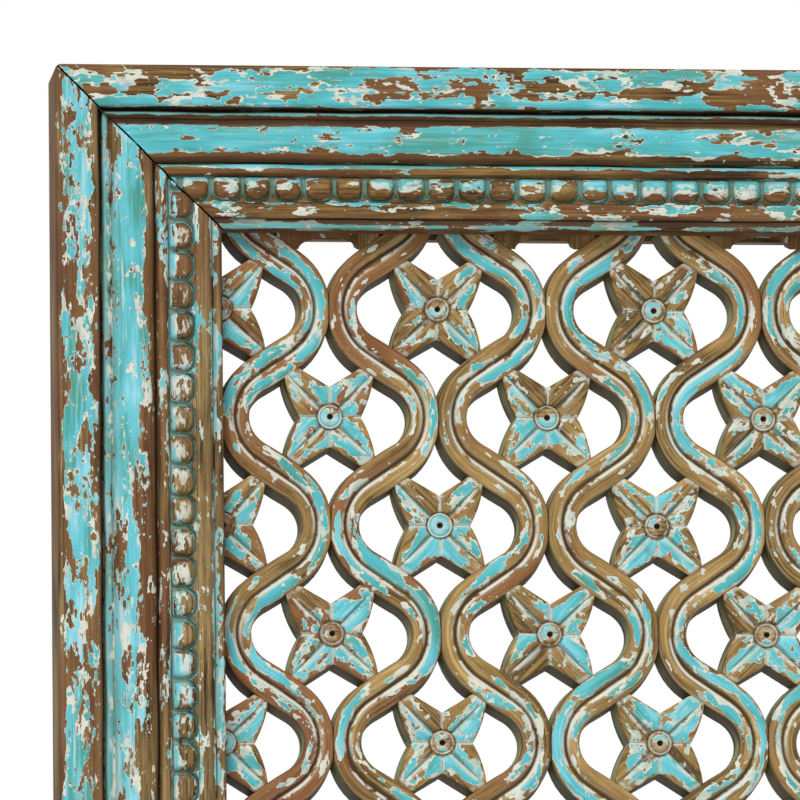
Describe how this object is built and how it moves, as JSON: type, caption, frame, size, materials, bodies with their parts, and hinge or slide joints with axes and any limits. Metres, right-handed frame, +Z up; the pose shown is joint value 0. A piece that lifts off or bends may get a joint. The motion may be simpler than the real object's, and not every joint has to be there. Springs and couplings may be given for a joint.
{
  "type": "carved jali screen",
  "caption": "Carved jali screen: a mitred, moulded wood frame round a pierced lattice of wavy ribbons and four-petalled flowers, in worn turquoise paint.",
  "frame": {"origin": "middle of the foot of the frame, in the middle of its depth", "axes": "+Z up the screen, -Y out of its carved front, +X to the right seen from the front"},
  "size_m": [0.61, 0.045, 0.908],
  "materials": {
    "frame_paint": "worn turquoise paint over cream primer on brown hardwood",
    "lattice_paint": "worn turquoise paint over cream primer on golden brown hardwood",
    "bare_wood": "planed, unpainted",
    "nail_iron": "dark, lightly rusted",
    "hanger_steel": "zinc plated"
  },
  "bodies": {
    "root": {"top_rail": "frame_paint", "bottom_rail": "frame_paint", "left_stile": "frame_paint", "right_stile": "frame_paint", "mitre_spline_top_left": "bare_wood", "mitre_spline_top_right": "bare_wood", "mitre_spline_bottom_right": "bare_wood", "mitre_spline_bottom_left": "bare_wood", "jali_board_1": "lattice_paint", "jali_board_2": "lattice_paint", "jali_board_3": "lattice_paint", "jali_board_4": "lattice_paint", "retaining_strip_top": "bare_wood", "retaining_strip_bottom": "bare_wood", "retaining_strip_left": "bare_wood", "retaining_strip_right": "bare_wood", "corner_nails": "nail_iron", "strip_brads": "nail_iron", "hanger_plate_left": "hanger_steel", "hanger_plate_right": "hanger_steel"}
  },
  "joints": []
}
